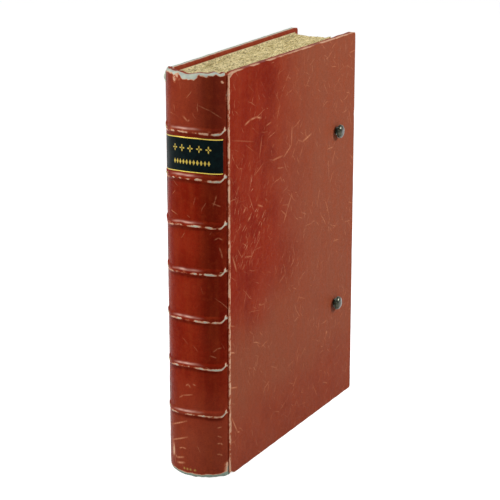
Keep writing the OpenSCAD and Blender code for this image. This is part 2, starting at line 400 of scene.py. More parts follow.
def mark_group():
    """A scratch from point A to point B, all in mm, as a mask of 0 to 1."""
    tree = bpy.data.node_groups.new("Scratch", "ShaderNodeTree")
    for kind, names in (("Vector", ("Place", "A", "B")), ("Float", ("Width", "Sum", "Strength"))):
        for name in names:
            tree.interface.new_socket(name, in_out="INPUT", socket_type="NodeSocket" + kind)
    tree.interface.new_socket("Mask", in_out="OUTPUT", socket_type="NodeSocketFloat")
    entry = tree.nodes.new("NodeGroupInput").outputs
    leave = tree.nodes.new("NodeGroupOutput").inputs
    group = Nodes(tree)

    # Each scratch waits for the sum of those before it, so that Cycles keeps few values at a time
    waiting = group.vector("MULTIPLY_ADD", entry["Sum"], (1e-6, 0, 0), entry["Place"])
    along = group.vector("SUBTRACT", entry["B"], entry["A"])
    here = group.vector("SUBTRACT", waiting, entry["A"])
    reach = group.vector("DOT_PRODUCT", along, along)
    share = group.vector("DOT_PRODUCT", here, along)
    share = group.math("DIVIDE", share, reach, use_clamp=True)
    foot = group.vector("SCALE", along, None, None, share)
    off = group.vector("DISTANCE", here, foot)
    near = group.math("SUBTRACT", 1.0, group.math("DIVIDE", off, entry["Width"]), use_clamp=True)
    from_middle = group.minus(share, 0.5)
    taper = group.scaled(group.times(from_middle, from_middle), -2.8, 1.0)
    mask = group.times(group.times(near, taper), entry["Strength"])
    group.put(leave["Mask"], group.most(mask, entry["Sum"]))
    return tree


SCRATCH = mark_group()
# A stroke's mask fades out at this many widths from its middle
SOFT_EDGE = 1.35


def marks(finish, place, strokes):
    """The mask of strokes given as (width, strength, (u, v), (u, v), ...) in mm."""
    flat = finish.stretched(place, 1, 1, 0)
    total = 0.0
    for width, strength, *points in strokes:
        for a, b in zip(points, points[1:]):
            made = finish.node("Group", flat, (*a, 0), (*b, 0), SOFT_EDGE * width, total, strength,
                               node_tree=SCRATCH)
            total = made.outputs["Mask"]
    return total


def random_scratches(finish, place, size, width, turn, share, spread=2.2):
    """One short scratch in some of the cells of a random pattern, at its own angle."""
    upright = (0, 0, 1)
    flat = finish.stretched(place, 1, 1, 0)
    flat = finish.node("VectorRotate", flat, (0, 0, 0), upright, turn).outputs[0]
    cell = finish.cells(flat, size)
    parts = finish.node("SeparateXYZ", cell["Color"]).outputs
    local = finish.vector("SUBTRACT", flat, cell["Position"])
    angle = finish.times(parts[0], spread)
    bent = finish.node("VectorRotate", local, (0, 0, 0), upright, angle).outputs[0]
    wander = finish.noise(place, size / 3, detail=1.0)
    wander = finish.scaled(wander, size * 0.12, -size * 0.06)
    across, along, _ = finish.node("SeparateXYZ", bent).outputs
    line = finish.step(finish.size(finish.plus(across, wander)), 0.0, width, 1.0, 0.0)
    ends = finish.step(finish.size(along), size * 0.15, size * 0.42, 1.0, 0.0)
    there = finish.step(parts[1], 1 - share, 1 - share + 0.15)
    return finish.times(finish.times(line, ends), there)


LIT_RED = colour(143, 33, 11)
DEEP_RED = colour(122, 24, 8)
DULL_RED = colour(143, 76, 53)
# The red that painted shade darkens the leather towards
SHADE_RED = colour(84, 12, 4)
MOTTLE = colour(160, 66, 32)
SCUFF = colour(186, 104, 72)
TAN = colour(214, 166, 136)
SCRATCHED = colour(212, 140, 102)
GLINT = colour(242, 192, 174)
BARE = colour(196, 204, 186)
COOL = colour(184, 190, 180)
GRIMY = colour(140, 160, 146)
GOLD = colour(200, 176, 92)
PORES = colour(64, 12, 8)


def leather(name, scuffed, specular, strokes=(), dots=(), webbed=False):
    """Old red calf, worn through by Wear to tan and then to the bare core, which Grime greens.

    Its fade field dulls it, partly as real fading and partly as painted sheen; its dark field is painted
    shade, and its glint field is a painted highlight on the bands. Web gathers fine scratches.
    Strokes are its own scratches, dots are gilt, and scuffed is the share of random scratches.
    """
    finish = Finish(name, specular=specular)
    place = finish.place()
    cloud = finish.noise(place, 38, detail=4, rough=0.6)
    fine = finish.noise(place, 1.1, detail=3, rough=0.6)
    patch = finish.noise(place, 4.5, detail=4, rough=0.65)
    tone = finish.blend(DEEP_RED, LIT_RED, cloud, 0.3, 0.6)
    # Duller tone: partly real fading and partly painted sheen
    fade = finish.plus(finish.field("Fade"), finish.scaled(cloud, 0.8, -0.4))
    tone = finish.blend(tone, DULL_RED, fade, -0.2, 1.15)
    # Painted shade, from the Dark field
    tone = finish.mix(finish.field("Dark"), tone, SHADE_RED)
    streak = finish.noise(finish.stretched(place, 1, 0.12, 1), 9, detail=3, rough=0.6)
    tone = finish.blend(tone, MOTTLE, streak, 0.4, 0.68, 0.2)
    tone = finish.blend(tone, MOTTLE, patch, 0.45, 0.72, 0.2)
    tone = finish.mix(finish.step(fine, 0.3, 0.55, 0.2, 0.0), tone, PORES)

    rub = finish.most(*(
        random_scratches(finish, place, size, width, turn, share * scuffed)
        for size, width, turn, share in ((17, 0.5, 0.3, 0.6), (9, 0.36, 1.9, 0.7), (26, 0.42, 0.9, 0.6))
    ))
    where = finish.step(finish.noise(place, 30, detail=2), 0.42, 0.62)
    rub = finish.times(rub, finish.scaled(where, 0.6, 0.1))
    if webbed:
        web = finish.most(
            random_scratches(finish, place, 11.0, 0.45, 0.3, 0.95, spread=0.8),
            random_scratches(finish, place, 7.0, 0.38, 0.1, 0.8, spread=1.0),
        )
        cluster = finish.step(finish.noise(place, 14, detail=2), 0.42, 0.58)
        web = finish.times(web, finish.scaled(cluster, 0.85, 0.15))
        rub = finish.most(rub, finish.times(web, finish.field("Web")))
    broken = finish.step(fine, 0.34, 0.54, 0.5, 1.0)
    if strokes:
        rub = finish.most(rub, marks(finish, place, strokes))
    rub = finish.times(rub, broken)
    tone = finish.mix(finish.times(rub, 0.9), tone, SCRATCHED)
    tone = finish.blend(tone, TAN, rub, 0.65, 0.95, 0.85)
    if dots:
        tone = finish.mix(marks(finish, place, dots), tone, GOLD)

    # Painted highlight: a light streak on the bands' crests in place of gloss
    tone = finish.mix(finish.times(finish.field("Polish"), 0.85), tone, GLINT)
    ragged = finish.scaled(patch, 0.5, -0.25)
    ragged = finish.plus(ragged, finish.scaled(fine, 0.5, -0.25))
    wear = finish.plus(finish.field("Wear"), ragged)
    scuff = finish.step(wear, 0.28, 0.5)
    worn = finish.step(wear, 0.5, 0.62)
    bare = finish.step(wear, 0.82, 0.96)
    tone = finish.mix(finish.times(scuff, 0.55), tone, SCUFF)
    tone = finish.mix(worn, tone, TAN)
    core = finish.blend(BARE, COOL, patch, 0.42, 0.6)
    core = finish.mix(finish.field("Grime"), core, GRIMY)
    tone = finish.mix(bare, tone, core)

    grain = finish.cells(place, 0.75, feature="SMOOTH_F1")["Distance"]
    height = finish.scaled(grain, 0.35, finish.times(fine, 0.5))
    height = finish.scaled(rub, -0.6, height)
    height = finish.scaled(worn, -0.9, height)
    normal = finish.bump(height, 0.10)
    normal = finish.bump(patch, 0.35, normal)
    gloss = finish.scaled(patch, 0.2, 0.18)
    gloss = finish.scaled(finish.most(worn, rub), 0.4, gloss)
    return finish.done(tone, normal, gloss)


def paper():
    """Foxed paper for the pastedowns."""
    finish = Finish("Endpaper", roughness=0.85, specular=0.25)
    place = finish.solid_place()
    cloud = finish.noise(place, 34, detail=5, rough=0.6)
    fibre = finish.noise(finish.stretched(place, 1, 1, 0.25), 0.8, detail=2)
    spots = finish.step(finish.noise(place, 2.6, detail=2), 0.64, 0.76, 0.0, 0.5)
    tone = finish.blend(colour(214, 198, 158), colour(182, 160, 112), cloud, 0.4, 0.72)
    tone = finish.mix(spots, tone, colour(140, 104, 62))
    tone = finish.mix(finish.times(fibre, 0.2), tone, colour(235, 226, 200))
    normal = finish.bump(finish.plus(fibre, cloud), 0.08)
    return finish.done(tone, normal)


def leaf_edges():
    """Edges of the leaves: Leaf is each leaf's own tone, and Gap is 1 between sections, which painted shade
    darkens.

    A Leaf of more than 1.2 goes over to the plain face of a flyleaf.
    """
    finish = Finish("Page_edges", roughness=0.9, specular=0.2)
    place = finish.place()
    leaf = finish.field("Leaf")
    streak = finish.noise(finish.stretched(place, 1.0, 0.09, 0.09), 0.5, detail=3, rough=0.7)
    cloud = finish.noise(place, 16, detail=4, rough=0.65)
    speck = finish.noise(finish.stretched(place, 1.0, 0.35, 0.35), 1.0, detail=3, rough=0.7)
    tone = finish.blend(colour(168, 147, 86), colour(250, 234, 180), streak, 0.32, 0.68)
    tone = finish.mix(finish.times(leaf, 0.4), tone, colour(244, 232, 190))
    tone = finish.blend(tone, colour(150, 134, 76), cloud, 0.5, 0.72, 0.6)
    tone = finish.blend(tone, colour(92, 76, 34), speck, 0.5, 0.64, 0.85)
    sheet = finish.blend(colour(216, 200, 158), colour(198, 179, 134), cloud, 0.42, 0.7)
    face = finish.step(leaf, 1.2, 1.55)
    tone = finish.mix(face, tone, sheet)
    # Painted shade in the gaps between sections
    tone = finish.blend(tone, colour(74, 60, 30), finish.field("Gap"), 0.3, 1.0, 0.7)
    height = finish.times(finish.plus(streak, speck), finish.minus(1.0, face))
    normal = finish.bump(height, 0.3)
    return finish.done(tone, normal)


def label_leather():
    """Dark goatskin with gilt rules at head and foot and two rows of plain ornament."""
    finish = Finish("Label_leather", specular=0.03)
    place = finish.place()
    across, up, _ = finish.node("SeparateXYZ", place).outputs
    fine = finish.noise(place, 0.9, detail=3)
    patch = finish.noise(place, 5, detail=4, rough=0.6)
    tone = finish.blend(colour(4, 13, 15), colour(10, 26, 27), patch, 0.35, 0.7)

    def rule(height):
        """A line across the label at the height."""
        half = 0.36
        off = finish.size(finish.minus(up, height))
        return finish.step(off, half * 0.7, half * 1.3, 1.0, 0.0)

    def row(height, pitch, half_count, shape):
        """Repeats a shape, drawn from its own centre, at the pitch along one line."""
        run = finish.minus(across, 2.5)
        cell = finish.math("WRAP", run, pitch / 2, -pitch / 2)
        inside = finish.step(finish.size(run), pitch * (half_count + 0.4), pitch * (half_count + 0.5),
                             1.0, 0.0)
        return finish.times(shape(cell, finish.minus(up, height)), inside)

    def floret(x, y):
        """Four petals about a small open eye."""
        x, y = finish.math("DIVIDE", x, 2.2), finish.math("DIVIDE", y, 2.7)
        reach = finish.math("SQRT", finish.plus(finish.times(x, x), finish.times(y, y)))
        turn = finish.math("ARCTAN2", y, x)
        petal = finish.math("COSINE", finish.times(turn, 4.0))
        edge = finish.scaled(petal, 0.42, 0.52)
        body = finish.step(finish.minus(reach, edge), -0.06, 0.06, 1.0, 0.0)
        eye = finish.step(reach, 0.16, 0.26)
        return finish.times(body, eye)

    def bead(x, y):
        """A small lozenge."""
        y = finish.math("DIVIDE", y, 2.0)
        reach = finish.plus(finish.size(x), finish.size(y))
        return finish.step(reach, 0.85, 1.1, 1.0, 0.0)

    height = LABEL_HIGH - LABEL_LOW
    florets = row(LABEL_HIGH - 0.317 * height, 6.5, 2, floret)
    beads = row(LABEL_HIGH - 0.7 * height, 2.65, 5, bead)
    gilt = finish.times(finish.most(florets, beads), 0.72)
    gilt = finish.most(gilt, rule(LABEL_HIGH - 0.6), rule(LABEL_LOW + 0.6))
    rubbed = finish.step(finish.plus(fine, patch), 0.62, 0.9)
    gilt = finish.times(gilt, finish.scaled(rubbed, 0.75, 0.25))
    wear = finish.plus(finish.field("Wear"), finish.scaled(fine, 0.6, -0.3))
    worn = finish.step(wear, 0.45, 0.65)
    tone = finish.mix(finish.times(worn, 0.8), tone, colour(120, 92, 70))
    tone = finish.mix(gilt, tone, colour(214, 186, 84))
    grain = finish.cells(place, 0.6, feature="SMOOTH_F1")["Distance"]
    height = finish.scaled(gilt, -0.5, finish.times(grain, 0.5))
    normal = finish.bump(height, 0.12)
    gloss = finish.scaled(patch, 0.2, 0.22)
    return finish.done(tone, normal, gloss, finish.times(gilt, 0.75))


def bronze():
    """Old dark bronze under a thin gloss, greener where Wear is."""
    finish = Finish("Old_bronze", metallic=1.0)
    place = finish.place()
    patch = finish.noise(place, 2.2, detail=4, rough=0.65)
    fine = finish.noise(place, 0.5, detail=3)
    tone = finish.blend(colour(22, 26, 17), colour(58, 58, 38), patch, 0.35, 0.65)
    green = finish.plus(patch, finish.times(finish.field("Wear"), 0.3))
    verdigris = finish.step(green, 0.54, 0.72, 0.0, 0.6)
    tone = finish.mix(verdigris, tone, colour(58, 84, 70))
    normal = finish.bump(finish.plus(patch, fine), 0.05)
    gloss = finish.scaled(verdigris, 0.25, 0.22)
    metal = finish.scaled(verdigris, -0.7, 1.0)
    finish.put(finish.sockets["Coat Weight"], 0.5)
    finish.put(finish.sockets["Coat Roughness"], 0.1)
    return finish.done(tone, normal, gloss, metal)


def wood():
    """Bare wood of the boards, with its grain up the book."""
    finish = Finish("Board_wood", roughness=0.7, specular=0.3)
    place = finish.solid_place()
    grain = finish.stretched(place, 1, 1, 0.06)
    grain = finish.noise(grain, 1.6, detail=4, rough=0.6, distortion=0.4)
    tone = finish.blend(colour(138, 104, 62), colour(186, 152, 104), grain, 0.35, 0.65)
    return finish.done(tone, finish.bump(grain, 0.15))


def twisted(name, light, dark, pitch, slant):
    """Thread wound or laid round a core: stripes that climb round the spine's middle."""
    finish = Finish(name, roughness=0.75, specular=0.3)
    place = finish.solid_place()
    across, along, up = finish.node("SeparateXYZ", place).outputs
    along = finish.minus(along, BACK_Y - CENTRE[1])
    across = finish.plus(across, CENTRE[0])
    turn = finish.math("ARCTAN2", across, finish.times(along, -1.0))
    run = finish.scaled(turn, BACK_R, finish.times(up, slant))
    wave = finish.math("SINE", finish.times(run, 2 * math.pi / pitch))
    fuzz = finish.noise(place, 0.4, detail=2)
    strand = finish.scaled(fuzz, 0.8, wave)
    tone = finish.blend(dark, light, strand, -0.6, 1.2)
    return finish.done(tone, finish.bump(strand, 0.25))


# Marks seen on the leather

# Strokes are (width, strength, points), all in mm: on the cover as (y, z), on the back as (s, z)
COVER_STROKES = (
    (0.8, 0.9, (23.5, 259.5), (31.7, 261.7), (40.5, 262.1), (48.2, 260.1)),
    (0.6, 0.6, (55.9, 252.9), (63.8, 254.2)),
    (0.5, 0.5, (73.1, 254.7), (77.0, 264.4)),
    (0.6, 0.8, (97.6, 244.5), (97.1, 230.6), (84.1, 223.7)),
    (0.7, 0.6, (65.3, 225.1), (82.8, 225.2)),
    (0.8, 0.9, (116.0, 229.4), (131.0, 232.7)),
    (0.5, 0.6, (120.2, 237.6), (122.4, 230.9)),
    (0.5, 0.5, (103.5, 227.4), (97.9, 220.9)),
    (0.5, 0.5, (116.1, 225.6), (111.3, 218.2)),
    (0.5, 0.4, (107.5, 232.4), (116.0, 229.4)),
    (0.6, 0.5, (45.7, 231.0), (49.5, 246.7)),
    (0.5, 0.5, (38.0, 219.6), (52.1, 225.9)),
    (0.6, 0.7, (98.3, 192.6), (90.3, 181.5), (84.7, 173.1)),
    (0.5, 0.5, (90.3, 177.0), (80.6, 183.7)),
    (0.8, 0.9, (20.8, 195.8), (24.2, 198.6)),
    (0.8, 0.8, (27.8, 188.0), (31.7, 190.9)),
    (0.6, 0.7, (42.5, 190.1), (40.7, 188.0)),
    (0.7, 0.8, (43.1, 196.5), (51.0, 193.4)),
    (0.5, 0.5, (36.8, 193.4), (30.2, 205.6)),
    (0.5, 0.35, (4.3, 251.9), (36.7, 244.9)),
    (0.6, 1.0, (0.3, 95.9), (7.3, 93.7)),
    (0.6, 0.9, (0.3, 68.6), (10.6, 65.9)),
    (0.9, 0.8, (4.4, 167.0), (10.1, 154.9)),
    (0.5, 0.5, (38.5, 164.7), (47.0, 171.7)),
    (0.5, 0.6, (22.6, 162.3), (33.4, 160.3)),
    (1.2, 0.9, (161.4, 63.4), (163.0, 62.6)),
    (0.6, 0.9, (2.2, 44.6), (10.7, 30.8), (13.7, 29.8)),
)
SPINE_STROKES = (
    (0.6, 0.9, (-21.0, 35.7), (-2.8, 43.5)),
    (0.6, 0.9, (-21.5, 23.2), (-2.3, 31.0)),
    (0.5, 0.9, (-10.4, 20.4), (-7.0, 21.8), (-3.8, 21.6)),
    (0.7, 0.9, (-19.1, 16.1), (-15.6, 13.6), (-14.1, 11.8)),
    (0.8, 0.9, (-14.1, 11.8), (-5.8, 14.4)),
    (0.9, 1.0, (-13.2, 8.1), (-5.3, 10.1)),
    (0.5, 0.9, (20.6, 27.0), (22.8, 27.2), (24.6, 25.9)),
    (0.5, 0.8, (20.5, 18.6), (22.6, 18.6), (24.2, 17.2)),
    (0.5, 0.7, (-9.5, 60.4), (-5.5, 63.1), (2.2, 64.9)),
    (0.6, 0.7, (-3.0, 71.0), (-1.0, 72.6), (0.6, 70.2)),
    (0.6, 0.7, (2.6, 73.0), (4.7, 72.3)),
    (0.7, 0.6, (-2.8, 270.4), (0.5, 267.2), (2.0, 268.0)),
    (0.4, 0.4, (8.7, 278.6), (17.0, 274.8), (24.9, 269.4)),
    (0.5, 0.5, (18.7, 206.9), (20.1, 211.1), (20.9, 214.0)),
    (0.5, 0.6, (18.0, 208.7), (20.8, 207.5), (23.8, 206.1)),
    (0.5, 0.6, (19.3, 182.0), (22.2, 183.3), (25.2, 181.5)),
    (0.6, 0.6, (22.9, 175.8), (24.4, 172.0), (25.1, 168.2)),
    (0.5, 0.5, (18.0, 98.3), (21.0, 100.4), (24.0, 100.8)),
    (0.5, 0.5, (15.8, 95.4), (20.2, 93.6)),
    (0.5, 0.8, (20.7, 39.4), (23.7, 39.8)),
    (0.5, 0.7, (20.6, 33.2), (23.7, 31.6)),
)
SPINE_DOTS = tuple((0.9, 0.9, (s, 5.8), (s + 0.7, 5.7)) for s in (-5.8, -3.0, -0.3, 3.3))


# Pieces

FRONT, BACK = 1, -1

red_spine = leather("Spine_calf", scuffed=0.3, specular=0.012, strokes=SPINE_STROKES, dots=SPINE_DOTS)
red_front = leather("Front_calf", scuffed=1.0, specular=0.006, strokes=COVER_STROKES, webbed=True)
red_back = leather("Back_calf", scuffed=0.75, specular=0.006)
red_joint = leather("Joint_calf", scuffed=0.3, specular=0.012)


def band_line(s, i):
    """How far band i lies above its level at s: it sags to both sides and hooks up at its ends."""
    away = np.abs(s)
    sag = 1.1 - 1.9 * smooth(away, 4, BAND_S - 3.5)
    hook = 2.6 * smooth(away, BAND_S - 4.6, BAND_S - 0.2)
    return sag + hook + 0.2 * np.sin(s * 0.11 + i * 1.7) + 0.1 * np.sin(s * 0.31 + i)


def band_height(s, z):
    """How far the back's leather stands out over the cords at (s, z)."""
    round_end = 2.2
    height = np.zeros_like(s)
    away = np.abs(s)
    full = BAND_H * (1 - 0.3 * smooth(away, 10, BAND_S - 3) - 0.2 * smooth(-s, 14, BAND_S - 3))
    for i, level in enumerate(BAND_Z):
        beyond = np.maximum(0.0, away - (BAND_S - round_end))
        off = np.hypot(z - level - band_line(s, i), beyond * BAND_FOOT / round_end)
        share = np.clip((BAND_FOOT - off) / (BAND_FOOT * 0.72), 0.0, 1.0)
        height = np.maximum(height, full * np.sin(share * math.pi / 2) ** 0.85)
    return height


def band_marks(s, z, flat, wear, dark):
    """Each band's worn lower side and ends, a painted highlight along its crest and painted shadow under
    it.
    """
    away = np.abs(s)
    patchy = ripple(flat, 4.2, 11)
    polish = np.zeros_like(s)
    for i, level in enumerate(BAND_Z):
        over = z - level - band_line(s, i)
        # Painted highlight: a light streak along each band's crest, strongest left of the middle
        run = bump(s, -2.0, 15.0) * (0.72 + 0.3 * ripple(flat * (1, 3), 4.0, 80 + i))
        polish = np.maximum(polish, bell(over - 1.25, 0.65) * np.clip(run, 0, 1))
        # Painted shadow under each band
        dark = np.maximum(dark, 0.8 * bell(over + 3.7, 1.3) * smooth(away, BAND_S, BAND_S - 4))
        end = smooth(away, BAND_S - 9, BAND_S - 2.5) * smooth(away, BAND_S + 0.8, BAND_S - 0.4)
        along = 0.52 + 0.3 * smooth(s, 2, 12)
        along = along + 0.32 * ripple(joined(s, 40.0 * i), 4.0, 20 + i)
        along = along + 0.22 * ripple(flat, 1.5, 60 + i)
        tip = smooth(away, BAND_S - 2.6, BAND_S - 1.2) * smooth(away, BAND_S + 0.6, BAND_S - 0.3)
        wear = most(
            wear,
            bell(over + 1.35, 1.1) * np.maximum(along, 1.15 * end),
            bell(over, 1.5) * tip,
            bell(over, 1.5) * 0.42 * smooth(patchy, 0.1, 0.9),
        )
    return wear, polish, dark


def back_section():
    """The leather's section up the back as (radius, z): tail cap, outside, head cap, inside."""
    coarse, fine, by_cap, inside_gap = 1.4, 0.3, 0.5, 3.4
    stops = [(CAP_R + 4, by_cap)]
    for level in BAND_Z:
        stops += [(level - 4.2, coarse), (level + 5.2, fine)]
    stops += [(HEAD_Z - CAP_R - 4, coarse), (HEAD_Z - CAP_R, by_cap)]
    turn = np.radians(np.linspace(0, 90, 7))
    lip_turn = 2 * turn[1:-1]
    fold_r, lip_r = CAP_R - CAP_T, CAP_T / 2
    roll_in = joined(BACK_R - CAP_R + fold_r * np.cos(turn), CAP_R - fold_r * np.sin(turn))
    lip = joined(BACK_R - CAP_W - lip_r * np.sin(lip_turn), lip_r + lip_r * np.cos(lip_turn))
    roll_out = joined(BACK_R - CAP_R + CAP_R * np.sin(turn), CAP_R - CAP_R * np.cos(turn))
    tail = np.concatenate([roll_in, lip, roll_out[:-1]])
    head = tail[::-1] * (1, -1) + (0, HEAD_Z)
    inside = [(BACK_INNER_R, HEAD_Z - inside_gap), (BACK_INNER_R, inside_gap)]
    return np.concatenate([tail, joined(BACK_R, lines(CAP_R, *stops)), head, inside])


def spine_piece():
    """The leather over the back, from its tail cap over the bands to its head cap."""
    s_lines = fine_ends(-JOINT_S, JOINT_S, 7, 0.45, 0.8)
    radius, level = back_section().T
    s, z, number = crossed(s_lines, level)
    flat, s_only = joined(s, z), joined(s)
    from_head, from_tail = HEAD_Z - z, z
    away = np.abs(s)

    r = np.tile(radius, len(s_lines))
    inside, outer = r < BACK_INNER_R + 0.1, r > BACK_R - CAP_R
    skin = smooth(r, BACK_R - CAP_R, BACK_R)
    by_joint = smooth(away, JOINT_S - 4, JOINT_S - 0.8)
    uneven = 0.14 * ripple(flat, 14, 3) * (1 - by_joint) - 0.3 * by_joint
    r = r + np.where(outer, band_height(s, z), 0) + skin * uneven
    dip = 1.1 * bump(s, 0.5, 8.5) + 0.5 * ripple(s_only, 5, 5) + 0.9 * smooth(s, 22, 30)
    z = z - smooth(from_head, 6, 0) * (0.35 + dip)
    z = z + smooth(from_tail, 5, 0) * 0.2 * (1 + ripple(s_only, 4, 6))
    r = r - 0.3 * smooth(from_head, 3, 0) * (1 + ripple(flat, 3, 7))

    # Painted shade: the back darkens towards both sides, most towards its right, where less light falls
    shade = 0.6 * smooth(s, 4, 17) * (1 - 0.2 * smooth(s, 19, 25)) * smooth(z, 40, 130)
    dark = 0.05 + 0.2 * smooth(-s, 0, 16) + shade
    wear, polish, dark = band_marks(s, z, flat, 0.06 * (1 + ripple(flat, 9, 12)), dark)
    cap_depth = 1.9 + 0.5 * ripple(s_only, 3.5, 31) + 0.3 * ripple(flat, 1.4, 38)
    cap_depth = cap_depth + 3.1 * smooth(s, -6.0, -1.5) * smooth(s, 10.0, 3.0)
    cap = 1.3 * smooth(from_head, cap_depth + 1.8, cap_depth - 1.2)
    cap = cap * (1 - 0.8 * smooth(s, 27.6, 28.8)) + 0.22 * ripple(flat, 2.2, 34) * bump(from_head, 3.0, 3.0)
    foot_depth = 2.6 + 0.3 * ripple(s_only, 5, 32) + 1.2 * smooth(s, 22, 27)
    foot_corner = smooth(s, 23.5, 28.5) * smooth(from_tail, 17, 5)
    smudge = spot((s + 18.5) / 5.0, (z - 20.0) / 15.0, 0.4, 1.0)
    pink_patch = spot((s + 9.0) / 6.5, (from_head - 4.0) / 4.5, 0.45, 1.0)
    chip = spot((s - 25.7) * 0.7 + (z - 294.6) * 0.3, (z - 294.6) * 1.3, 0.3, 1.9)
    blotch = spot(s + 11.0, (z - 296.0) * 0.6, 0.5, 3.4)
    wear = most(
        wear,
        cap,
        chip,
        0.62 * blotch,
        (0.46 + 0.3 * ripple(flat, 2.0, 35)) * pink_patch,
        1.3 * smooth(from_tail, foot_depth + 1.5, foot_depth - 1.0),
        (0.95 + 0.3 * ripple(flat, 3.0, 36)) * foot_corner,
        (0.4 + 0.2 * ripple(flat * (1, 0.3), 2.5, 37)) * smudge,
        (0.8 + 0.4 * ripple(flat, 7, 33)) * 0.37 * smooth(away, JOINT_S - 4.5, JOINT_S - 0.8),
    )
    wear = np.where(inside, 0.3, wear)
    fade = 0.5 * smooth(z, 100, 20) + 0.36 * smooth(z, 235, 270) + 0.05 * ripple(flat, 30, 41)
    grime = smooth(z, 20, 8)

    points = around_back(s, r, z)
    points[:, 1] = np.minimum(points[:, 1], 0.0)
    faces = quads(number).tolist() + quads([number[:, -1], number[:, 0]]).tolist()
    faces += [number[0].tolist(), number[-1, ::-1].tolist()]
    place = joined(s, z, r - BACK_R)
    piece = new_piece("Spine_leather", points, faces, red_spine, place, wear=wear, fade=fade,
                      grime=grime, dark=dark, polish=polish)
    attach(piece, "book_block")
    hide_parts("spine_leather")


def cover_piece(side, name, body, node, material):
    """The leather drawn over one board, with rounded edges and its turn-in on the inner face."""
    edge_r = 1.15
    skin_t = 0.4
    fore_in = BOARD_W - TURN_IN
    seed = 50 if side == FRONT else 70
    y_lines = lines(JOINT_GAP, (8, 0.55), (fore_in, 2.4), (BOARD_W - 3, 1.6), (BOARD_W, 0.22))
    near_end = lines(0, (3, 0.22), (TURN_IN, 1.2))
    between = lines(TURN_IN, (BOARD_H - TURN_IN, 2.4))[1:-1]
    z_lines = np.concatenate([near_end, between, BOARD_H - near_end[::-1]])
    y, t, number = crossed(y_lines, z_lines / BOARD_H)

    cut = JOINT_CUT_H * np.clip(1 - (y - JOINT_GAP) / JOINT_CUT_W, 0, 1) ** 1.3
    past = np.clip(y - (BOARD_W - FORE_CORNER_R), 0, FORE_CORNER_R)
    low = cut + FORE_CORNER_R - np.sqrt(FORE_CORNER_R**2 - past**2)
    z = low + t * (BOARD_H - 2 * low)
    flat, y_only, z_only = joined(y, z), joined(y), joined(z)
    d_fore, d_low, d_high = BOARD_W - y, z - low, BOARD_H - low - z
    d_end = np.minimum(d_low, d_high)
    lean = np.hypot(np.clip(edge_r - d_fore, 0, None), np.clip(edge_r - d_end, 0, None))
    drop = edge_r - np.sqrt(edge_r**2 - np.minimum(lean, edge_r) ** 2)

    if side == FRONT:
        bites = ((0.55, 234.0, 4.0), (-0.15, 241.0, 4.0), (0.25, 118.0, 9.0), (0.3, 17.0, 9.0))
    else:
        bites = ((0.4, 72.0, 6.0), (0.3, 190.0, 10.0))
    bitten = 0.1 * (1 + ripple(z_only, 12, seed + 1))
    for depth, at, half_width in bites:
        bitten = bitten + depth * bump(z, at, half_width)
    y_moved = y - bitten * smooth(d_fore, 5, 0)
    fray = 0.09 * (1 + ripple(y_only, 9, seed + 2))
    z_moved = z + fray * smooth(d_low, 4, 0) - fray * smooth(d_high, 4, 0)

    warp = -0.11 * (1 + ripple(flat, 60, seed + 3)) - 0.02 * (1 + ripple(flat, 9, seed + 4))
    draw = random.Random(seed + 5)
    for _ in range(16):
        dent = np.array((draw.uniform(15, 200), draw.uniform(10, 290)))
        across, deep = draw.uniform(1.6, 5.0), draw.uniform(0.04, 0.16)
        warp = warp - deep * np.exp(-((flat - dent) ** 2).sum(1) / across**2)
    warp = np.maximum(warp, -0.32) * smooth(np.minimum(d_fore, d_end), 0, 4)
    outer = joined(warp - drop, y_moved, z_moved)
    inner = joined(drop - COVER_T, y_moved, z_moved)

    streak = ripple(joined(y, z * 0.2), 11, seed + 6)
    if side == FRONT:
        end_rub = np.minimum(0.62 + 0.42 * streak, 0.8)
    else:
        end_rub = np.where(z > BOARD_H / 2, 1.5 + 0.2 * streak, 0.62 + 0.42 * streak)
    fore_rub = 0.26 + 0.3 * ripple(joined(y * 0.2, z), 13, seed + 7)
    low_corner = 0.6 * smooth(d_low, 9, 0.5) * smooth(y, 150, 200)
    wear = most(
        end_rub * smooth(d_end, 1.0, 0.15),
        fore_rub * smooth(d_fore, 1.0, 0.1),
        0.8 * spot(y - JOINT_GAP, d_end + low, 9.0, 14.0) * smooth(d_end, 1.3, 0.3),
        0.75 * spot(d_fore, d_end, 0.8, 3.2),
        (0.6 + 0.4 * ripple(flat, 5, seed + 8)) * low_corner,
        (0.8 + 0.35 * ripple(flat, 8, seed + 9)) * 0.62 * smooth(y, 2.4, 0.6),
    )
    inner_wear = np.maximum((0.4 if side == FRONT else 0.26) * wear, 0.15)
    # Duller and greyer towards the fore edge and the foot: partly real fading and partly a painted sheen
    # from the light at the right
    dulled = smooth(y + 12 * smooth(z, 180, 240) + 7 * ripple(flat, 40, seed + 12), 36, 165)
    fade = 1.05 - (1 - dulled) * smooth(z + 8 * ripple(flat, 40, seed + 10), 84, 150)
    fade = np.clip(fade - 0.42 * smooth(z, 66, 28), 0, 1.1)
    web = spot((y - 30) / 40, (z - 190) / 55, 0.45, 1.0)

    count = len(y)
    turned_in = quads(number, flip=True)
    middle_y, middle_z = y[turned_in].mean(1), z[turned_in].mean(1)
    on_ring = (middle_y > fore_in) | (middle_z < TURN_IN) | (middle_z > BOARD_H - TURN_IN)
    faces = np.concatenate([quads(number), turned_in[on_ring] + count, *walls(number, 3)])
    if side == BACK:
        faces = faces[:, ::-1]
    used = np.unique(faces)
    renumber = np.full(2 * count, -1)
    renumber[used] = np.arange(len(used))
    points = on_cover(np.concatenate([outer, inner])[used], side)
    place = np.concatenate([joined(y, z, 0.0), joined(y, z, -COVER_T)])[used]
    wear = np.concatenate([wear, inner_wear])[used]
    fade = np.concatenate([fade, np.full(count, 0.4)])[used]
    web = np.concatenate([web, np.zeros(count)])[used]
    piece = new_piece(name, points, renumber[faces], material, place, wear=wear, fade=fade, web=web)
    thicken(piece, skin_t)
    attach(piece, body)
    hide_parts(node)


